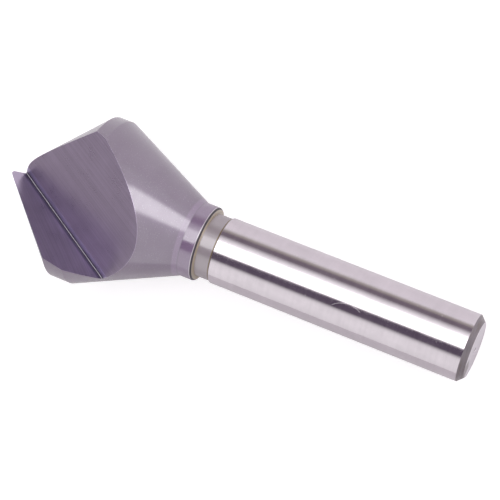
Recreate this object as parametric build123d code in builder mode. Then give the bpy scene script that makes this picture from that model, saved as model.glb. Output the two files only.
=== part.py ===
"""A single-flute 90 degree countersink bit with a cylindrical shank, lying on the floor as it comes to rest.

Millimetres and degrees. +Z is up, and the tool's axis runs from the shank's end face towards +X, rising to the
cutting end. The row's origin is on the floor, under the middle of the tool.

The tool rests on the rear edge of its band and on the corner of the shank's end. The flute is the lighter side
of the head, so it turns to face up.

Turn angles are taken round the tool's axis from straight up, and positive towards -Y.
"""

import os
from math import atan, cos, degrees, radians, sin, tan

from build123d import *

# Turned blank, from the shank's end face to the cutting point
shank_diameter = 10.0
shank_length = 39.1
shank_end_chamfer = 0.88
shoulder_chamfer = 0.15
neck_undercut = 0.22
neck_length = 2.27
collar_step = 0.855
collar_length = 2.26
collar_round_share = 0.53
head_diameter = 25.3
back_cone_angle = 25.1
blank_seam = 157.5

# Lathe centre in the shank's end face
centre_diameter = 1.0
centre_angle = 60.0

# Cutting end: a 90 degree cone that falls away behind the one cutting edge, evenly round the axis
point_angle = 90.0
collar_to_point = 30.67
tip_flat = 0.87
relief_per_turn = 1.7
edge_to_groove = 74.25

# Flute: a V-groove ground straight across the head, past its axis
flute_slope = 30.8
flute_past_axis = 1.71
flute_behind_point = 3.25
flute_angle = 88.0
flute_lean = 5.0
flute_root_radius = 0.3
flute_turn = 31.55

shank_radius = shank_diameter / 2
neck_radius = shank_radius - neck_undercut
collar_radius = neck_radius + collar_step
collar_rear_round = collar_step * collar_round_share
head_radius = head_diameter / 2

# Stations along the axis, from the shank's end face
neck_end = shank_length + neck_length
collar_end = neck_end + collar_length
back_cone_end = collar_end + (head_radius - collar_radius) / tan(radians(back_cone_angle))
point = collar_end + collar_to_point
tip = point - tip_flat
centre_depth = centre_diameter / 2 / tan(radians(centre_angle / 2))

# How the tool lies: it leans from the shank's end up to the wider head, and both touch the floor
rise = degrees(atan((head_radius - shank_radius) / (back_cone_end - shank_end_chamfer)))
along = Vector(cos(radians(rise)), 0, sin(radians(rise)))
across = Vector(-sin(radians(rise)), 0, cos(radians(rise)))
shank_end_height = shank_radius * cos(radians(rise)) - shank_end_chamfer * sin(radians(rise))
end_face_radius = shank_radius - shank_end_chamfer
length_over_floor = tip * cos(radians(rise)) + end_face_radius * sin(radians(rise))
shank_end = Vector(end_face_radius * sin(radians(rise)) - length_over_floor / 2, 0, shank_end_height)

# The tool's axis, and a lengthwise section plane: X is the radius, Y runs along the axis. The blank's own
# section is turned to one side, so that the blank's seam keeps clear of the line on which the tool rests.
tool_axis = Axis(shank_end, along)
section = Plane(origin=shank_end, x_dir=across, z_dir=(0, 1, 0))
seam = across.rotate(Axis((0, 0, 0), along), blank_seam)
blank_section = Plane(origin=shank_end, x_dir=seam, z_dir=seam.cross(along))

with BuildPart() as countersink_bit:
    # Turned blank, with its front still square
    with BuildSketch(blank_section):
        with BuildLine():
            Polyline(
                (0, centre_depth),
                (centre_diameter / 2, 0),
                (shank_radius, 0),
                (shank_radius, shank_length),
                (neck_radius, shank_length),
                (neck_radius, neck_end),
                (collar_radius, neck_end),
                (collar_radius, collar_end),
                (head_radius, back_cone_end),
                (head_radius, tip),
                (0, tip),
                close=True,
            )
        make_face()
    revolve(axis=tool_axis)
    rims = countersink_bit.edges().filter_by(GeomType.CIRCLE)
    shank_rims = rims.filter_by(lambda rim: abs(rim.radius - shank_radius) < 0.01).sort_by(tool_axis)
    chamfer(shank_rims[0], length=shank_end_chamfer)
    chamfer(shank_rims[-1], length=shoulder_chamfer)
    collar_rims = countersink_bit.edges().filter_by(GeomType.CIRCLE)
    collar_rims = collar_rims.filter_by(lambda rim: abs(rim.radius - collar_radius) < 0.01).sort_by(tool_axis)
    fillet(collar_rims[0], radius=collar_rear_round)

    # Cutting cone with its relief: a cutter's section turned once round the axis, climbing as it goes.
    # It starts and ends in the flute, and its cone reaches the point at the cutting edge.
    path_radius = head_radius / 2
    path_turn = 340.0
    edge_turn = 360.0 + flute_turn - edge_to_groove
    start_point = point - relief_per_turn * edge_turn / 360
    cone_slope = 1 / tan(radians(point_angle / 2))
    path_start = start_point - path_radius * cone_slope
    with BuildLine(mode=Mode.PRIVATE) as relief_path:
        Helix(
            pitch=relief_per_turn,
            height=relief_per_turn * path_turn / 360,
            radius=path_radius,
            center=shank_end + along * path_start,
            direction=along,
        )
    inner = 0.3
    outer = head_radius + 1
    front = point + 1.5
    with BuildSketch(section, mode=Mode.PRIVATE) as relief_section:
        with BuildLine():
            Polyline(
                (inner, start_point - inner * cone_slope),
                (outer, start_point - outer * cone_slope),
                (outer, front),
                (inner, front),
                close=True,
            )
        make_face()
    sweep(sections=relief_section.sketch, path=relief_path.line, is_frenet=True, mode=Mode.SUBTRACT)

    # Flute: the groove's own plane stands square across its root, with X the way that the groove opens
    opening = across.rotate(Axis((0, 0, 0), along), flute_turn)
    sideways = opening.cross(along) * -1
    along_root = sideways * sin(radians(flute_slope)) + along * cos(radians(flute_slope))
    root = shank_end + along * (point - flute_behind_point) - opening * flute_past_axis
    reach = 1.5 * head_diameter
    wall_angle = flute_angle / 2 - flute_lean
    rake_angle = flute_angle / 2 + flute_lean
    with BuildSketch(Plane(origin=root, x_dir=opening, z_dir=along_root)) as groove:
        with BuildLine():
            Polyline(
                (0, 0),
                (reach * cos(radians(wall_angle)), reach * sin(radians(wall_angle))),
                (reach * cos(radians(rake_angle)), -reach * sin(radians(rake_angle))),
                close=True,
            )
        make_face()
        fillet(groove.vertices().sort_by_distance((0, 0, 0))[0], radius=flute_root_radius)
    extrude(amount=reach, both=True, mode=Mode.SUBTRACT)

countersink_bit.part.label = "countersink_bit"

os.makedirs("parts", exist_ok=True)
export_step(countersink_bit.part, "parts/countersink_bit.step")
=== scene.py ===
"""A single-flute countersink bit: the finish of its ground shank and coated head, and the stage it lies on.

The finish is laid out in millimetres on the tool's own axes, and the scene itself is in metres.
"""

from math import cos, radians, sin
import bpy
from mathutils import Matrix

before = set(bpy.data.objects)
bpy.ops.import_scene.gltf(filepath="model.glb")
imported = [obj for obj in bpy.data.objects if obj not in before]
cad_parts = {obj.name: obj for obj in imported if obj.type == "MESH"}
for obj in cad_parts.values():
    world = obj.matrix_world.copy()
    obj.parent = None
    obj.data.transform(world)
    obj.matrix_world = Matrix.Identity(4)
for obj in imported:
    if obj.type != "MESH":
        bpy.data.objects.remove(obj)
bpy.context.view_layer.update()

from types import SimpleNamespace

import bpy
from bpy.props import FloatProperty, FloatVectorProperty, PointerProperty
from mathutils import Matrix, Vector

bl_info = {
    "name": "Countersink bit",
    "version": (1, 0, 0),
    "blender": (4, 5, 0),
    "location": "View3D > Sidebar > Countersink",
    "description": "Finishes a ground and coated countersink bit and sets its stage",
    "category": "Object",
}

TOOL = "countersink_bit"
MM = 0.001


def mixed(*parts):
    """A vector from (amount, vector) pairs."""
    total = Vector((0.0, 0.0, 0.0))
    for amount, vector in parts:
        total += vector * amount
    return total


# ---------------------------------------------------------------- the tool's places
# The tool's own axes, in the row frame: along the axis, up across it, and to the side
RISE = radians(7.549073)
SHANK_END = Vector((-36.12615, 0.0, 4.84105))
ALONG = Vector((cos(RISE), 0.0, sin(RISE)))
ACROSS = Vector((-sin(RISE), 0.0, cos(RISE)))
SIDE = Vector((0.0, -1.0, 0.0))

# Stations along the axis from the shank's end face
END_CHAMFER = 0.88
SHOULDER = 39.1
NECK_END = 41.37
COLLAR_END = 43.63

# The flute's root line and its two ground faces
FLUTE_TURN = radians(31.55)
FLUTE_SLOPE = radians(30.8)
FLUTE_ROOT_STATION = 71.05
FLUTE_PAST_AXIS = 1.71
WALL_ANGLE = radians(39.0)
RAKE_ANGLE = radians(49.0)

# Soft borders between the surfaces, each as the pair of stations between which a mask fades
END_FACE_BORDER = (0.02, 0.05)
CHAMFER_BORDER = (END_CHAMFER - 0.03, END_CHAMFER + 0.03)
SHOULDER_BORDER = (SHOULDER - 0.02, SHOULDER + 0.02)
NECK_BORDER = (NECK_END - 0.06, NECK_END - 0.01)
HEAD_BORDER = (COLLAR_END + 0.6, COLLAR_END + 0.9)

# Soft borders in the flute. On a face: how far a point may be off it, and how far from the root line it
# begins. In the root: how far its round reaches from each face. Then the strip with its painted reflection,
# and the painted shade on the rake beside the root.
OFF_FACE = (0.02, 0.05)
FACE_START = (0.27, 0.31)
ROUND_IN = (-0.02, 0.01)
ROUND_OUT = (0.33, 0.38)
WALL_STRIP_END = (1.00, 1.08)
RAKE_PAINTED_SHADE_END = (0.45, 0.85)

# A painted highlight: the bright hair line in the root's round, a little to the wall's side of its middle
ROOT_HIGHLIGHT_SHIFT = 0.05
ROOT_HIGHLIGHT_WIDTH = (0.03, 0.07)

# A painted dark reflection on the shank's end face, between two turns from straight up and outside a radius
END_DARK_REFLECTION_FROM = -1.35
END_DARK_REFLECTION_TO = -0.35
END_DARK_REFLECTION_FADE = 0.15
END_DARK_REFLECTION_INSIDE = (2.2, 2.6)

# A hair scratch on top of the shank: part of a circle in station and side
SCRATCH_STATION = 17.95
SCRATCH_SIDE = -2.96
SCRATCH_RADIUS = 3.5
SCRATCH_FROM = 16.1
SCRATCH_TO = 20.4
SCRATCH_FADE = 0.2
SCRATCH_WIDTH = (0.015, 0.05)
SCRATCH_ASIDE = (1.0, 1.2)
SCRATCH_UP = (3.0, 3.5)

# ---------------------------------------------------------------- the tool's tints and grain
COLLAR_TINT = (0.60, 0.38, 0.68)
GRAIN_TINT = (0.62, 0.56, 0.66)
SPOT_TINT = (0.12, 0.09, 0.14)
# Painted shade that darkens the round in the flute's root
ROOT_PAINTED_SHADE_TINT = (0.06, 0.045, 0.08)
# Painted highlight of the bright hair line in the root's round
ROOT_HIGHLIGHT_TINT = (0.80, 0.76, 0.84)
# Painted shade on the rake beside the root
RAKE_PAINTED_SHADE_TINT = (0.10, 0.08, 0.14)
LATHE_LINE_TINT = (0.20, 0.16, 0.13)
END_FACE_TINT = (0.76, 0.71, 0.76)
# Painted dark reflection on the lower part of the shank's end face
END_DARK_REFLECTION_TINT = (0.17, 0.13, 0.12)
SCRATCH_TINT = (0.16, 0.13, 0.15)

# How much of each tint shows
COLLAR_SHARE = 0.12
GRAIN_SHARE = 0.30
SPOT_SHARE = 0.18
# Share of the painted shade in the root
ROOT_PAINTED_SHADE_SHARE = 0.85
# Share of the root's painted highlight
ROOT_HIGHLIGHT_SHARE = 0.9
# Share of the painted reflection on the strip beside the root
WALL_STRIP_REFLECTION_SHARE = 0.9
# Share of the painted shade on the rake
RAKE_PAINTED_SHADE_SHARE = 0.70
LATHE_LINE_SHARE = 0.5
END_DARK_REFLECTION_SHARE = 0.6
SCRATCH_SHARE = 0.15

# Lines round the tool beside its corners, each over the one before: station, width, share, and colour.
# At the collar's rear they hold a painted dark reflection and a painted highlight, and at its front painted
# shade in the corner. The line with no colour of its own takes the shoulder line's colour.
RING_LINES = {
    # an olive-brown line beside the corner of the shank's shoulder
    "shoulder": (SHOULDER + 0.03, 0.13, 0.85, None),
    # painted dark reflection on the collar's rear face
    "collar rear, painted dark reflection": (NECK_END + 0.16, 0.12, 0.95, (0.02, 0.018, 0.016)),
    "collar rear, gold": (NECK_END, 0.05, 0.8, (0.42, 0.34, 0.19)),
    # painted highlight on the collar's rounded rear edge
    "collar rear, painted highlight": (NECK_END + 0.34, 0.05, 0.5, (0.72, 0.68, 0.68)),
    # painted shade in the corner where the collar meets the back cone
    "collar front, painted shade": (COLLAR_END, 0.09, 0.35, (0.09, 0.07, 0.11)),
}

# How strongly a pattern shows in a colour or in the gloss: the level where it is 0, and what is added up to 1
MOTTLE = (0.90, 0.20)
STREAKS = (0.95, 0.1)
WHEEL_LINES = (0.72, 0.56)
COAT_UNEVEN = (0.72, 0.56)

# The wheel's lines in the flute, and how far they turn from the root line on the rake; the lathe's lines, and
# which of them show brown on the shank's end chamfer
WHEEL_LINES_PER_MM = 5.0
WHEEL_STRETCH = 0.08
RAKE_LINE_TURN = radians(12)
LATHE_STRETCH = 0.25
LATHE_LINE_CUT = (0.52, 0.62)

# Grains, spots and nicks: how many to the millimetre, and the share of the surface that they take
COAT_GRAIN_COVER = 0.35
SPOTS = (4.0, 0.12)
NICKS = (3.2, 0.12)
CLOUDS_PER_MM = 0.35

# Roughness of the smaller surfaces, and what the grain adds to it
NECK_ROUGHNESS = 0.50
END_CHAMFER_ROUGHNESS = 0.3
END_FACE_ROUGHNESS = 0.35
FLUTE_ROUGHNESS = 0.30
MARK_ROUGHNESS = 0.40
CLOUD_ROUGHNESS = 0.10
STEEL_LINE_ROUGHNESS = 0.22
COAT_GRAIN_ROUGHNESS = 0.12
LEAST_ROUGHNESS = 0.05

# Share of metal, and share of the clear gloss over it
NECK_METAL = 0.75
COLLAR_METAL = 0.15
# The root's painted highlight is less metallic, so that it shows pale
ROOT_HIGHLIGHT_METAL = 0.3
NECK_GLOSS = 0.6
COLLAR_GLOSS = 0.9
DARK_LINE_WITHOUT_GLOSS = 0.9
GLOSS_ROUGHNESS = 0.13
GLOSS_IOR = 2.35

# Relief: its full depth, and the share that lines and grains take of it on steel, coating, wall and rake
RELIEF_DEPTH = 0.006
STEEL_LINES = 0.20
COAT_LINES = 0.3
WALL_LINES, WALL_GRAINS = 0.8, 0.4
RAKE_LINES, RAKE_GRAINS = 0.9, 0.3

# ---------------------------------------------------------------- the stage's places and levels
# The camera's side of the tool, how far the camera stands above the shank's end and behind it, and its axes
CAMERA_TURN = radians(12.3)
TOWARDS = mixed((cos(CAMERA_TURN), ACROSS), (sin(CAMERA_TURN), SIDE))
UPWARDS = mixed((-sin(CAMERA_TURN), ACROSS), (cos(CAMERA_TURN), SIDE))
CAMERA_ABOVE = 267.393
CAMERA_BEHIND = 31.149
CAMERA_PLACE = (SHANK_END + TOWARDS * CAMERA_ABOVE - ALONG * CAMERA_BEHIND) * MM
CAMERA_RIGHT = mixed((-0.22230, TOWARDS), (0.36771, UPWARDS), (-0.90298, ALONG))
CAMERA_DOWN = mixed((-0.09361, TOWARDS), (-0.92993, UPWARDS), (-0.35564, ALONG))
CAMERA_FORWARD = mixed((-0.97048, TOWARDS), (0.00547, UPWARDS), (0.24115, ALONG))
CAMERA_LENS = 138.156
CAMERA_SENSOR = 36.0
CAMERA_CLIP = (0.01, 10.0)

# The studio in bands round a line from left to right: the turn from where the camera stands, over the top,
# and the light there. SOFTBOX stands for the softbox's own level, and three numbers are a colour.
SOFTBOX = None
LOWER_CARD = (0.125, 0.10, 0.14)
UPPER_CARD = (0.22, 0.185, 0.22)
WARM_WALL = (0.46, 0.43, 0.39)
STUDIO_BANDS = (
    (-180, 0.95), (-110, 0.95), (-73, 1.05), (-52, 1.02), (-43, 0.97), (-35, 0.60), (-29, LOWER_CARD),
    (-5, LOWER_CARD), (-2, 0.7), (1, SOFTBOX), (32, SOFTBOX), (38, 1.35), (47, 0.85), (56, UPPER_CARD),
    (65, UPPER_CARD), (74, WARM_WALL), (82, 0.88), (91, 1.10), (180, 1.05),
)

# The cards stand beside the shank, and past its end only the softbox goes on
OPEN_BANDS = ((-180, 0.95), (-2, 1.0), (4, SOFTBOX), (32, SOFTBOX), (40, 1.0), (180, 1.0))
CARDS_END = (-0.35, -0.10)

# Dim walls at the right and at the left
RIGHT_WALL, RIGHT_WALL_FROM = (0.34, 0.37, 0.42), (0.72, 0.9)
LEFT_WALL, LEFT_WALL_FROM = (0.436, 0.405, 0.42), (0.84, 0.94)

# A dark screen beyond the head, where the flute's two faces mirror each other: how far along, and between
# which turns it fades in and out
SCREEN = (0.08, 0.09, 0.09)
SCREEN_ALONG = (0.29, 0.34)
SCREEN_FROM = (0, 10)
SCREEN_TO = (62, 72)

# The floor behind the tool, towards -Y, glows only in the metal's reflections; that glow fades out between
# these
FLOOR_BEHIND = (-10 * MM, 4 * MM)
FLOOR_ROUGHNESS = 0.9


# ---------------------------------------------------------------- node helpers
def tint(values):
    """A colour with its alpha."""
    return (*values, 1.0)


class Nodes:
    """Adds nodes to one tree, and returns their output sockets."""

    def __init__(self, tree):
        self.tree = tree

    def node(self, kind, **settings):
        made = self.tree.nodes.new(kind)
        for key, value in settings.items():
            setattr(made, key, value)
        return made

    def put(self, socket, value):
        if isinstance(value, bpy.types.NodeSocket):
            self.tree.links.new(value, socket)
        elif value is not None:
            socket.default_value = value

    def math(self, operation, a, b=None):
        made = self.node("ShaderNodeMath", operation=operation)
        for socket, value in zip(made.inputs, (a, b)):
            self.put(socket, value)
        return made.outputs[0]

    def add(self, a, b):
        return self.math("ADD", a, b)

    def sub(self, a, b):
        return self.math("SUBTRACT", a, b)

    def mul(self, a, b):
        return self.math("MULTIPLY", a, b)

    def more(self, a, b):
        """The larger of two values."""
        return self.math("MAXIMUM", a, b)

    def size(self, value):
        """A value without its sign."""
        return self.math("ABSOLUTE", value)

    def length(self, a, b):
        """The long side over two square ones."""
        return self.math("SQRT", self.add(self.mul(a, a), self.mul(b, b)))

    def beyond(self, value, low, high):
        """0 below low, 1 above high, and smooth between."""
        made = self.node("ShaderNodeMapRange", interpolation_type="SMOOTHSTEP")
        self.put(made.inputs["Value"], value)
        self.put(made.inputs["From Min"], low)
        self.put(made.inputs["From Max"], high)
        return made.outputs["Result"]

    def within(self, value, low, high):
        """1 below low, 0 above high, and smooth between."""
        return self.sub(1.0, self.beyond(value, low, high))

    def dot(self, a, b):
        made = self.node("ShaderNodeVectorMath", operation="DOT_PRODUCT")
        self.put(made.inputs[0], a)
        self.put(made.inputs[1], b)
        return made.outputs["Value"]

    def scale(self, vector, amount):
        made = self.node("ShaderNodeVectorMath", operation="SCALE")
        self.put(made.inputs[0], vector)
        self.put(made.inputs["Scale"], amount)
        return made.outputs[0]

    def combine(self, x, y, z):
        made = self.node("ShaderNodeCombineXYZ")
        for socket, value in zip(made.inputs, (x, y, z)):
            self.put(socket, value)
        return made.outputs[0]

    def separate(self, vector):
        made = self.node("ShaderNodeSeparateXYZ")
        self.put(made.inputs[0], vector)
        return made.outputs

    def mix(self, factor, a, b, blend="MIX"):
        made = self.node("ShaderNodeMix", data_type="RGBA", blend_type=blend)
        self.put(made.inputs["Factor"], factor)
        self.put(made.inputs[6], a)
        self.put(made.inputs[7], b)
        return made.outputs[2]

    def blend(self, factor, a, b):
        """Plain numbers mixed."""
        made = self.node("ShaderNodeMix", data_type="FLOAT")
        self.put(made.inputs[0], factor)
        self.put(made.inputs[2], a)
        self.put(made.inputs[3], b)
        return made.outputs[0]

    def level(self, value, low, added):
        """A brightness from a value between 0 and 1."""
        return self.add(low, self.mul(value, added))

    def dimmed(self, colour, level):
        """A colour times a brightness."""
        return self.mix(1.0, colour, self.combine(level, level, level), blend="MULTIPLY")

    def noise(self, vector, scale=1.0, detail=2.0, roughness=0.5):
        made = self.node("ShaderNodeTexNoise")
        self.put(made.inputs["Vector"], vector)
        for key, value in (("Scale", scale), ("Detail", detail), ("Roughness", roughness)):
            self.put(made.inputs[key], value)
        return made.outputs["Fac"]

    def ramp(self, value, stops):
        made = self.node("ShaderNodeValToRGB")
        elements = made.color_ramp.elements
        while len(elements) < len(stops):
            elements.new(0.5)
        for element, (place, colour) in zip(elements, stops):
            element.position = place
            element.color = tint(colour)
        self.put(made.inputs[0], value)
        return made.outputs[0]

    def group(self, name, **inputs):
        made = self.node("ShaderNodeGroup", node_tree=bpy.data.node_groups[name])
        for key, value in inputs.items():
            self.put(made.inputs[key.replace("_", " ")], value)
        return made.outputs


FLOAT = "NodeSocketFloat"
VECTOR = "NodeSocketVector"


def new_group(name, inputs, outputs):
    """An empty shader node group with named sockets; returns its Nodes, its inputs and its outputs."""
    tree = bpy.data.node_groups.new(name, "ShaderNodeTree")
    for label, kind, default in inputs:
        socket = tree.interface.new_socket(label, in_out="INPUT", socket_type=kind)
        if default is not None:
            socket.default_value = default
    for label, kind in outputs:
        tree.interface.new_socket(label, in_out="OUTPUT", socket_type=kind)
    nodes = Nodes(tree)
    return nodes, nodes.node("NodeGroupInput").outputs, nodes.node("NodeGroupOutput").inputs


def tool_place_group():
    """Where a point lies on the tool: station, radius and turn, and how far it is from the flute's faces."""
    n, given, out = new_group(
        "tool_place",
        [("Position", VECTOR, None)],
        [
            ("Station", FLOAT), ("Radius", FLOAT), ("Turned", VECTOR),
            ("Wall distance", FLOAT), ("Rake distance", FLOAT),
            ("Wall span", FLOAT), ("Rake span", FLOAT), ("Valley", FLOAT),
        ],
    )
    scaled = n.node("ShaderNodeVectorMath", operation="MULTIPLY_ADD")
    n.put(scaled.inputs[0], given["Position"])
    n.put(scaled.inputs[1], (1 / MM,) * 3)
    n.put(scaled.inputs[2], tuple(-SHANK_END))
    place = scaled.outputs[0]
    station = n.dot(place, tuple(ALONG))
    up = n.dot(place, tuple(ACROSS))
    aside = n.dot(place, tuple(SIDE))
    n.put(out["Station"], station)
    n.put(out["Radius"], n.length(up, aside))
    n.put(out["Turned"], n.combine(station, up, aside))

    # The groove's own axes: the way it opens, across it, and down its root line
    opened = mixed((cos(FLUTE_TURN), ACROSS), (sin(FLUTE_TURN), SIDE))
    sideways = mixed((-sin(FLUTE_TURN), ACROSS), (cos(FLUTE_TURN), SIDE))
    root = ALONG * FLUTE_ROOT_STATION - opened * FLUTE_PAST_AXIS
    cross = mixed((-sin(FLUTE_SLOPE), ALONG), (cos(FLUTE_SLOPE), sideways))
    valley = mixed((cos(FLUTE_SLOPE), ALONG), (sin(FLUTE_SLOPE), sideways))
    rows = (
        ("Wall distance", mixed((sin(WALL_ANGLE), opened), (-cos(WALL_ANGLE), cross))),
        ("Rake distance", mixed((sin(RAKE_ANGLE), opened), (cos(RAKE_ANGLE), cross))),
        ("Wall span", mixed((cos(WALL_ANGLE), opened), (sin(WALL_ANGLE), cross))),
        ("Rake span", mixed((cos(RAKE_ANGLE), opened), (-sin(RAKE_ANGLE), cross))),
        ("Valley", valley),
    )
    for label, axis in rows:
        n.put(out[label], n.sub(n.dot(place, tuple(axis)), root.dot(axis)))


def grind_lines_group():
    """Fine parallel lines left by a wheel or a lathe tool, and broad streaks between them."""
    n, given, out = new_group(
        "grind_lines",
        [
            ("Across", FLOAT, 0.0), ("Surface", VECTOR, None),
            ("Lines per mm", FLOAT, 6.0), ("Stretch", FLOAT, 0.15),
        ],
        [("Lines", FLOAT), ("Streaks", FLOAT)],
    )
    shift = n.node("ShaderNodeVectorMath", operation="ADD")
    n.put(shift.inputs[0], n.scale(given["Surface"], given["Stretch"]))
    n.put(shift.inputs[1], n.combine(n.mul(given["Across"], given["Lines per mm"]), 0.0, 0.0))
    drawn = shift.outputs[0]
    broad = 0.17
    n.put(out["Lines"], n.noise(drawn, 1.0, 3.0, 0.6))
    n.put(out["Streaks"], n.noise(n.scale(drawn, broad), 1.0, 2.0, 0.5))


def speckle_group():
    """Small grains, as a mask from 0 to 1 and as a value for a bump."""
    n, given, out = new_group(
        "speckle",
        [("Surface", VECTOR, None), ("Grains per mm", FLOAT, 6.0), ("Share", FLOAT, 0.5)],
        [("Grains", FLOAT), ("Height", FLOAT)],
    )
    fine = n.noise(given["Surface"], given["Grains per mm"], 3.0, 0.65)
    n.put(out["Height"], fine)
    low = n.sub(0.72, n.mul(given["Share"], 0.3))
    n.put(out["Grains"], n.beyond(fine, low, n.add(low, 0.09)))


def edge_line_group():
    """A line round an edge, for painted highlights and shade as well as coloured lines: 1 at no distance, 0
    past the width, ragged between.
    """
    n, given, out = new_group(
        "edge_line",
        [("Distance", FLOAT, 0.0), ("Width", FLOAT, 0.1), ("Surface", VECTOR, None)],
        [("Edge line", FLOAT)],
    )
    ragged = n.level(n.noise(given["Surface"], 3.0, 3.0, 0.6), 0.6, 0.8)
    far = n.math("DIVIDE", n.size(given["Distance"]), n.mul(given["Width"], ragged))
    n.put(out["Edge line"], n.within(far, 0.6, 1.15))


# ---------------------------------------------------------------- finish
class CountersinkFinish(bpy.types.PropertyGroup):
    """Colours and grain of the tool's surfaces."""

    shank_colour: FloatVectorProperty(
        name="Ground steel", description="Colour of the bright ground shank",
        subtype="COLOR", size=3, min=0.0, max=1.0, default=(0.665, 0.605, 0.652))
    neck_colour: FloatVectorProperty(
        name="Neck", description="Colour of the turned neck between shank and collar",
        subtype="COLOR", size=3, min=0.0, max=1.0, default=(0.355, 0.305, 0.335))
    coat_colour: FloatVectorProperty(
        name="Coating", description="Colour of the satin coating on the head",
        subtype="COLOR", size=3, min=0.0, max=1.0, default=(0.135, 0.084, 0.155))
    flute_colour: FloatVectorProperty(
        name="Flute", description="Colour of the coating in the ground flute",
        subtype="COLOR", size=3, min=0.0, max=1.0, default=(0.47, 0.40, 0.53))
    # The strip is a narrow facet that the wheel's corner left; its lighter bluish colour is a painted
    # reflection of that facet
    root_strip_reflection_colour: FloatVectorProperty(
        name="Root strip", description="Bluish colour of the strip that the wheel's corner left by the root",
        subtype="COLOR", size=3, min=0.0, max=1.0, default=(0.60, 0.53, 0.75))
    end_chamfer_colour: FloatVectorProperty(
        name="End chamfer", description="Colour of the dull chamfer at the shank's end",
        subtype="COLOR", size=3, min=0.0, max=1.0, default=(0.27, 0.24, 0.26))
    # An olive-brown line beside the corner of the shank's shoulder
    shoulder_line_colour: FloatVectorProperty(
        name="Shoulder line", description="Olive and brown tint in the corner of the shank's shoulder",
        subtype="COLOR", size=3, min=0.0, max=1.0, default=(0.20, 0.13, 0.05))
    shank_roughness: FloatProperty(
        name="Shank roughness", description="How soft the reflections of the ground shank are",
        subtype="FACTOR", min=0.0, max=1.0, default=0.12)
    coat_roughness: FloatProperty(
        name="Coating roughness", description="How soft the reflections of the coating are",
        subtype="FACTOR", min=0.0, max=1.0, default=0.40)
    coat_metal: FloatProperty(
        name="Coating metal", description="Share of the coating's colour that comes as a metal's reflection",
        subtype="FACTOR", min=0.0, max=1.0, default=0.40)
    grind_pitch: FloatProperty(
        name="Grind lines", description="Grind lines to the millimetre on the shank",
        min=0.5, max=40.0, default=9.0)
    grain_pitch: FloatProperty(
        name="Coating grains", description="Grains to the millimetre in the coating",
        min=0.5, max=40.0, default=7.0)


def tool_regions(n, place):
    """Masks of the tool's surfaces, each 1 on its own surface and 0 elsewhere."""
    station = place["Station"]
    on = SimpleNamespace()
    on.past_shoulder = n.beyond(station, *SHOULDER_BORDER)
    on.past_neck = n.beyond(station, *NECK_BORDER)
    on.head = n.beyond(station, *HEAD_BORDER)
    on.collar = n.sub(on.past_neck, on.head)
    on.end_chamfer = n.within(station, *CHAMFER_BORDER)
    on.end_face = n.within(station, *END_FACE_BORDER)

    # The flute: its two ground faces, and the round between them
    spans, rounds = {}, []
    for face in ("Wall", "Rake"):
        distance = place[face + " distance"]
        near = n.within(n.size(distance), *OFF_FACE)
        spans[face] = n.mul(on.head, n.mul(near, n.beyond(place[face + " span"], *FACE_START)))
        rounds.append(n.mul(n.beyond(distance, *ROUND_IN), n.within(distance, *ROUND_OUT)))
    on.wall, on.rake = spans["Wall"], spans["Rake"]
    faces = n.more(on.wall, on.rake)
    on.root = n.mul(on.head, n.mul(n.mul(*rounds), n.sub(1.0, faces)))
    on.flute = n.more(faces, on.root)

    # The strip beside the root on the wall, the line of painted shade beside it on the rake, and the painted
    # highlight line in the round
    on.wall_strip = n.mul(on.wall, n.within(place["Wall span"], *WALL_STRIP_END))
    on.rake_shade = n.mul(on.rake, n.within(place["Rake span"], *RAKE_PAINTED_SHADE_END))
    root_side = n.sub(place["Wall distance"], place["Rake distance"])
    on.hair_line = n.mul(on.root, n.within(n.size(n.add(root_side, ROOT_HIGHLIGHT_SHIFT)), *ROOT_HIGHLIGHT_WIDTH))
    return on


def tool_grain(n, place, settings):
    """Lathe and wheel lines, grains, spots, nicks and clouds on the tool."""
    turned = place["Turned"]
    rake_across = n.add(
        n.mul(place["Rake span"], cos(RAKE_LINE_TURN)), n.mul(place["Valley"], sin(RAKE_LINE_TURN)))
    wheel = {"Lines_per_mm": WHEEL_LINES_PER_MM, "Stretch": WHEEL_STRETCH}
    return SimpleNamespace(
        lathe=n.group(
            "grind_lines", Across=place["Station"], Surface=turned,
            Lines_per_mm=settings.grind_pitch, Stretch=LATHE_STRETCH),
        wall=n.group("grind_lines", Across=place["Wall span"], Surface=turned, **wheel),
        rake=n.group("grind_lines", Across=rake_across, Surface=turned, **wheel),
        grains=n.group(
            "speckle", Surface=turned, Grains_per_mm=settings.grain_pitch, Share=COAT_GRAIN_COVER),
        spots=n.group("speckle", Surface=turned, Grains_per_mm=SPOTS[0], Share=SPOTS[1]),
        nicks=n.group("speckle", Surface=turned, Grains_per_mm=NICKS[0], Share=NICKS[1]),
        cloud=n.noise(turned, CLOUDS_PER_MM, 3.0, 0.55),
    )


def end_dark_reflection(n, place, on):
    """A sector of painted dark reflection near the rim of the shank's end face."""
    parts = n.separate(place["Turned"])
    turn = n.math("ARCTAN2", parts["Z"], parts["Y"])
    sector = n.mul(
        n.beyond(turn, END_DARK_REFLECTION_FROM, END_DARK_REFLECTION_FROM + END_DARK_REFLECTION_FADE),
        n.within(turn, END_DARK_REFLECTION_TO - END_DARK_REFLECTION_FADE, END_DARK_REFLECTION_TO))
    return n.mul(n.mul(on.end_face, sector), n.beyond(place["Radius"], *END_DARK_REFLECTION_INSIDE))


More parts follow.
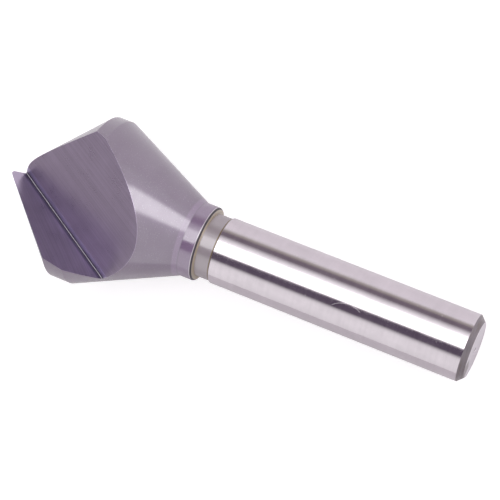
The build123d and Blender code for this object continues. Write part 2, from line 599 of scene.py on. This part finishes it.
def hair_scratch(n, place):
    """A curved hair scratch on top of the shank."""
    station = place["Station"]
    parts = n.separate(place["Turned"])
    across_arc = n.sub(parts["Z"], SCRATCH_SIDE)
    along_arc = n.sub(station, SCRATCH_STATION)
    off_arc = n.size(n.sub(n.length(across_arc, along_arc), SCRATCH_RADIUS))
    stretch = n.mul(
        n.beyond(station, SCRATCH_FROM, SCRATCH_FROM + SCRATCH_FADE),
        n.within(station, SCRATCH_TO - SCRATCH_FADE, SCRATCH_TO))
    above = n.mul(n.beyond(across_arc, *SCRATCH_ASIDE), n.beyond(parts["Y"], *SCRATCH_UP))
    return n.mul(n.mul(stretch, above), n.within(off_arc, *SCRATCH_WIDTH))


def tool_colour(n, place, on, grain, rings, scratch, settings):
    """The colour of every surface, with its grain, lines and scratch, and with painted shade, highlights and
    reflections.
    """
    # The plain colours
    shade = n.mix(on.past_shoulder, tint(settings.shank_colour), tint(settings.neck_colour))
    shade = n.mix(on.past_neck, shade, tint(settings.coat_colour))
    shade = n.mix(n.mul(on.collar, COLLAR_SHARE), shade, tint(COLLAR_TINT))
    shade = n.mix(on.flute, shade, tint(settings.flute_colour))

    # Clouds, streaks, wheel lines, grains and spots
    shade = n.dimmed(shade, n.level(grain.cloud, *MOTTLE))
    streak = n.blend(on.past_shoulder, grain.lathe["Streaks"], 0.5)
    shade = n.dimmed(shade, n.level(streak, *STREAKS))
    wheel_line = n.blend(on.wall, grain.rake["Lines"], grain.wall["Lines"])
    shade = n.dimmed(shade, n.blend(on.flute, 1.0, n.level(wheel_line, *WHEEL_LINES)))
    coated = n.more(on.past_neck, on.flute)
    shade = n.mix(n.mul(coated, n.mul(grain.grains["Grains"], GRAIN_SHARE)), shade, tint(GRAIN_TINT))
    shade = n.mix(n.mul(coated, n.mul(grain.spots["Grains"], SPOT_SHARE)), shade, tint(SPOT_TINT))

    # The root's round darkened with painted shade, its painted highlight line, the strip on the wall
    # lightened with a painted reflection, and the painted shade on the rake beside the root
    shade = n.mix(n.mul(on.root, ROOT_PAINTED_SHADE_SHARE), shade, tint(ROOT_PAINTED_SHADE_TINT))
    shade = n.mix(n.mul(on.hair_line, ROOT_HIGHLIGHT_SHARE), shade, tint(ROOT_HIGHLIGHT_TINT))
    shade = n.mix(n.mul(on.wall_strip, WALL_STRIP_REFLECTION_SHARE), shade, tint(settings.root_strip_reflection_colour))
    shade = n.mix(n.mul(on.rake_shade, RAKE_PAINTED_SHADE_SHARE), shade, tint(RAKE_PAINTED_SHADE_TINT))

    # The shank's end: brown lathe lines on the chamfer, and a painted dark reflection on the face
    lathe_lines = n.mul(n.beyond(grain.lathe["Lines"], *LATHE_LINE_CUT), LATHE_LINE_SHARE)
    chamfer_shade = n.mix(lathe_lines, tint(settings.end_chamfer_colour), tint(LATHE_LINE_TINT))
    shade = n.mix(n.mul(on.end_chamfer, n.sub(1.0, on.end_face)), shade, chamfer_shade)
    shade = n.mix(on.end_face, shade, tint(END_FACE_TINT))
    shade = n.mix(n.mul(end_dark_reflection(n, place, on), END_DARK_REFLECTION_SHARE), shade, tint(END_DARK_REFLECTION_TINT))

    # Lines beside the corners
    for name, (_station, _width, share, own_tint) in RING_LINES.items():
        shade = n.mix(n.mul(rings[name], share), shade, tint(own_tint or settings.shoulder_line_colour))
    return n.mix(n.mul(scratch, SCRATCH_SHARE), shade, tint(SCRATCH_TINT))


def tool_roughness(n, on, grain, scratch, settings):
    """Bright steel, satin coating, and duller chamfer, neck and flute."""
    rough = n.blend(on.past_shoulder, settings.shank_roughness, settings.coat_roughness)
    rough = n.blend(n.mul(on.past_shoulder, n.sub(1.0, on.head)), rough, NECK_ROUGHNESS)
    rough = n.blend(on.end_chamfer, rough, END_CHAMFER_ROUGHNESS)
    rough = n.blend(on.end_face, rough, END_FACE_ROUGHNESS)
    rough = n.blend(on.flute, rough, FLUTE_ROUGHNESS)
    nicks = n.mul(n.sub(1.0, on.past_shoulder), grain.nicks["Grains"])
    rough = n.add(rough, n.mul(n.more(scratch, nicks), MARK_ROUGHNESS))
    rough = n.add(rough, n.mul(n.sub(grain.cloud, 0.5), CLOUD_ROUGHNESS))
    steel = n.mul(n.sub(grain.lathe["Lines"], 0.5), STEEL_LINE_ROUGHNESS)
    coat = n.mul(n.sub(grain.grains["Height"], 0.5), COAT_GRAIN_ROUGHNESS)
    return n.more(n.add(rough, n.blend(on.past_shoulder, steel, coat)), LEAST_ROUGHNESS)


def tool_metal(n, on, settings):
    """How metallic each surface is."""
    coated = n.blend(on.past_neck, NECK_METAL, n.blend(on.head, COLLAR_METAL, settings.coat_metal))
    metal = n.blend(on.flute, n.blend(on.past_shoulder, 1.0, coated), 1.0)
    # The painted highlight line in the root is less metallic, so that it shows pale
    return n.blend(on.hair_line, metal, ROOT_HIGHLIGHT_METAL)


def tool_gloss(n, on, grain, rings):
    """The clear gloss over neck, collar and head, with none in the flute or in the collar's painted dark
    reflection.
    """
    streaked = n.mul(n.add(grain.lathe["Streaks"], grain.cloud), 0.5)
    uneven = n.level(streaked, *COAT_UNEVEN)
    behind_head = n.blend(on.past_neck, NECK_GLOSS, COLLAR_GLOSS)
    gloss = n.blend(on.past_shoulder, 0.0, n.blend(on.head, behind_head, uneven))
    bare = n.more(on.flute, n.mul(rings["collar rear, painted dark reflection"], DARK_LINE_WITHOUT_GLOSS))
    return n.mul(gloss, n.sub(1.0, bare))


def tool_relief(n, on, grain):
    """Height of the lathe and wheel lines and of the coating's grains."""
    lathe, grains = grain.lathe["Lines"], grain.grains["Height"]
    height = n.blend(on.past_shoulder, n.mul(lathe, STEEL_LINES), n.add(grains, n.mul(lathe, COAT_LINES)))
    wall = n.add(n.mul(grain.wall["Lines"], WALL_LINES), n.mul(grains, WALL_GRAINS))
    rake = n.add(n.mul(grain.rake["Lines"], RAKE_LINES), n.mul(grains, RAKE_GRAINS))
    return n.blend(on.rake, n.blend(on.wall, height, wall), rake)


def tool_material(settings):
    """Ground steel on the shank, satin coating on the head, and fine lines along the flute."""
    material = bpy.data.materials.new("ground_and_coated_steel")
    material.use_nodes = True
    n = Nodes(material.node_tree)
    n.tree.nodes.clear()
    output = n.node("ShaderNodeOutputMaterial")
    shader = n.node("ShaderNodeBsdfPrincipled")
    n.tree.links.new(shader.outputs[0], output.inputs["Surface"])

    place = n.group("tool_place", Position=n.node("ShaderNodeTexCoord").outputs["Object"])
    on = tool_regions(n, place)
    grain = tool_grain(n, place, settings)
    rings = {}
    for name, (at_station, width, _share, _tint) in RING_LINES.items():
        distance = n.sub(place["Station"], at_station)
        rings[name] = n.group("edge_line", Distance=distance, Width=width, Surface=place["Turned"])["Edge line"]
    scratch = hair_scratch(n, place)

    n.put(shader.inputs["Base Color"], tool_colour(n, place, on, grain, rings, scratch, settings))
    n.put(shader.inputs["Roughness"], tool_roughness(n, on, grain, scratch, settings))
    n.put(shader.inputs["Metallic"], tool_metal(n, on, settings))
    n.put(shader.inputs["Coat Weight"], tool_gloss(n, on, grain, rings))
    shader.inputs["Coat Roughness"].default_value = GLOSS_ROUGHNESS
    shader.inputs["Coat IOR"].default_value = GLOSS_IOR
    bump = n.node("ShaderNodeBump")
    bump.inputs["Strength"].default_value = 1.0
    bump.inputs["Distance"].default_value = RELIEF_DEPTH * MM
    n.put(bump.inputs["Height"], tool_relief(n, on, grain))
    n.put(shader.inputs["Normal"], bump.outputs[0])
    return material


class COUNTERSINK_OT_finish(bpy.types.Operator):
    """Give the tool its ground steel, satin coating and grind lines"""

    bl_idname = "countersink.finish"
    bl_label = "Finish the tool"

    def execute(self, context):
        for build in (tool_place_group, grind_lines_group, speckle_group, edge_line_group):
            build()
        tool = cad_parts[TOOL]
        if not tool.material_slots:
            raise RuntimeError("the tool has no material slot")
        material = tool_material(context.scene.countersink_finish)
        for slot in tool.material_slots:
            slot.link = "OBJECT"
            slot.material = material
        return {"FINISHED"}


# ---------------------------------------------------------------- stage
class CountersinkStage(bpy.types.PropertyGroup):
    """Floor and studio round the tool."""

    floor_size: FloatProperty(
        name="Floor size", description="Side of the square floor",
        subtype="DISTANCE", unit="LENGTH", min=0.2, default=3.0)
    floor_colour: FloatVectorProperty(
        name="Floor", description="Colour of the pale floor",
        subtype="COLOR", size=3, min=0.0, max=1.0, default=(0.68, 0.655, 0.675))
    floor_glow: FloatProperty(
        name="Floor white", description="White that the floor adds where it is seen",
        min=0.0, max=1.0, default=0.58)
    floor_glow_in_metal: FloatProperty(
        name="Floor in metal", description="White that the floor behind the tool adds to the metal",
        min=0.0, max=1.0, default=0.26)
    softbox: FloatProperty(
        name="Softbox", description="Brightness of the long softbox above the camera",
        min=0.0, max=10.0, default=2.8)


def share_of_turn(angle):
    """Where a turn in degrees lies between half a turn back and half a turn on, from 0 to 1."""
    return (angle + 180.0) / 360.0


def ramp_stops(bands, box):
    """Colour ramp stops from bands, as shares of the softbox's level."""
    stops = []
    for angle, light in bands:
        level = box if light is SOFTBOX else light
        level = level if isinstance(level, tuple) else (level,) * 3
        stops.append((share_of_turn(angle), tuple(part / box for part in level)))
    return stops


def studio_world(settings):
    """A white studio with one long softbox, two dark cards beside the shank and dim walls to the sides."""
    world = bpy.data.worlds.new("studio")
    bpy.context.scene.world = world
    world.use_nodes = True
    n = Nodes(world.node_tree)
    n.tree.nodes.clear()
    box = settings.softbox
    way = n.node("ShaderNodeTexCoord").outputs["Generated"]
    height = n.dot(way, tuple(-CAMERA_DOWN))
    front = n.dot(way, tuple(-CAMERA_FORWARD))
    aside = n.dot(way, tuple(CAMERA_RIGHT))
    along = n.dot(way, tuple(ALONG))
    turn = n.add(n.mul(n.math("ARCTAN2", height, front), 1 / radians(360)), 0.5)

    def part_of_box(values):
        return tint(part / box for part in values)

    beside_shank = n.ramp(turn, ramp_stops(STUDIO_BANDS, box))
    past_cards = n.ramp(turn, ramp_stops(OPEN_BANDS, box))
    light = n.mix(n.within(along, *CARDS_END), beside_shank, past_cards)
    light = n.mix(n.beyond(aside, *RIGHT_WALL_FROM), light, part_of_box(RIGHT_WALL))
    light = n.mix(n.beyond(n.mul(aside, -1.0), *LEFT_WALL_FROM), light, part_of_box(LEFT_WALL))
    screen = n.mul(
        n.beyond(turn, *map(share_of_turn, SCREEN_FROM)), n.within(turn, *map(share_of_turn, SCREEN_TO)))
    light = n.mix(n.mul(n.beyond(along, *SCREEN_ALONG), screen), light, part_of_box(SCREEN))

    studio = n.node("ShaderNodeBackground")
    n.put(studio.inputs["Color"], light)
    studio.inputs["Strength"].default_value = box
    white = n.node("ShaderNodeBackground")
    white.inputs["Color"].default_value = (1.0, 1.0, 1.0, 1.0)
    white.inputs["Strength"].default_value = 1.0
    choose = n.node("ShaderNodeMixShader")
    n.put(choose.inputs[0], n.node("ShaderNodeLightPath").outputs["Is Camera Ray"])
    n.tree.links.new(studio.outputs[0], choose.inputs[1])
    n.tree.links.new(white.outputs[0], choose.inputs[2])
    output = n.node("ShaderNodeOutputWorld")
    n.tree.links.new(choose.outputs[0], output.inputs["Surface"])


def pale_floor(settings):
    """A wide white floor under the tool that keeps its soft shadow."""
    half = settings.floor_size / 2
    mesh = bpy.data.meshes.new("floor")
    corners = [(-half, -half, 0.0), (half, -half, 0.0), (half, half, 0.0), (-half, half, 0.0)]
    mesh.from_pydata(corners, [], [(0, 1, 2, 3)])
    floor = bpy.data.objects.new("floor", mesh)
    bpy.context.scene.collection.objects.link(floor)

    material = bpy.data.materials.new("pale_floor")
    material.use_nodes = True
    n = Nodes(material.node_tree)
    n.tree.nodes.clear()
    output = n.node("ShaderNodeOutputMaterial")
    shader = n.node("ShaderNodeBsdfPrincipled")
    shader.inputs["Base Color"].default_value = tint(settings.floor_colour)
    shader.inputs["Roughness"].default_value = FLOOR_ROUGHNESS
    shader.inputs["Specular IOR Level"].default_value = 0.0
    path = n.node("ShaderNodeLightPath")
    # The floor glows white where the camera sees it, and behind the tool it glows also in the metal's
    # reflections
    mirrored = n.more(path.outputs["Is Glossy Ray"], path.outputs["Is Transmission Ray"])
    seen = n.mul(path.outputs["Is Camera Ray"], settings.floor_glow)
    spot = n.separate(n.node("ShaderNodeTexCoord").outputs["Object"])
    behind = n.within(spot["Y"], *FLOOR_BEHIND)
    white = n.more(seen, n.mul(mirrored, n.mul(behind, settings.floor_glow_in_metal)))
    n.put(shader.inputs["Emission Color"], n.combine(white, white, white))
    shader.inputs["Emission Strength"].default_value = 1.0
    n.tree.links.new(shader.outputs[0], output.inputs["Surface"])
    mesh.materials.append(material)


def add_camera():
    """The camera, high above the shank's end and looking down on the tool."""
    data = bpy.data.cameras.new("camera")
    data.lens = CAMERA_LENS
    data.sensor_width = CAMERA_SENSOR
    data.clip_start, data.clip_end = CAMERA_CLIP
    camera = bpy.data.objects.new("camera", data)
    bpy.context.scene.collection.objects.link(camera)
    axes = Matrix((CAMERA_RIGHT, -CAMERA_DOWN, -CAMERA_FORWARD)).transposed().to_4x4()
    axes.translation = CAMERA_PLACE
    camera.matrix_world = axes
    bpy.context.scene.camera = camera


class COUNTERSINK_OT_stage(bpy.types.Operator):
    """Add the floor, the studio light and the camera"""

    bl_idname = "countersink.stage"
    bl_label = "Set the stage"

    def execute(self, context):
        settings = context.scene.countersink_stage
        studio_world(settings)
        pale_floor(settings)
        add_camera()
        context.scene.view_settings.view_transform = "Standard"
        return {"FINISHED"}


class COUNTERSINK_PT_panel(bpy.types.Panel):
    """Steps and sizes of the countersink bit"""

    bl_idname = "COUNTERSINK_PT_panel"
    bl_label = "Countersink bit"
    bl_space_type = "VIEW_3D"
    bl_region_type = "UI"
    bl_category = "Countersink"

    def draw(self, context):
        steps = (("finish", context.scene.countersink_finish), ("stage", context.scene.countersink_stage))
        for step, group in steps:
            self.layout.operator("countersink." + step)
            for name in group.bl_rna.properties.keys():
                if name not in ("rna_type", "name"):
                    self.layout.prop(group, name)


CLASSES = (
    CountersinkFinish,
    CountersinkStage,
    COUNTERSINK_OT_finish,
    COUNTERSINK_OT_stage,
    COUNTERSINK_PT_panel,
)


def register():
    for kind in CLASSES:
        bpy.utils.register_class(kind)
    bpy.types.Scene.countersink_finish = PointerProperty(type=CountersinkFinish)
    bpy.types.Scene.countersink_stage = PointerProperty(type=CountersinkStage)


def unregister():
    del bpy.types.Scene.countersink_finish
    del bpy.types.Scene.countersink_stage
    for kind in reversed(CLASSES):
        bpy.utils.unregister_class(kind)


def main():
    register()
    bpy.ops.countersink.finish()
    bpy.ops.countersink.stage()


if __name__ == "__main__":
    main()
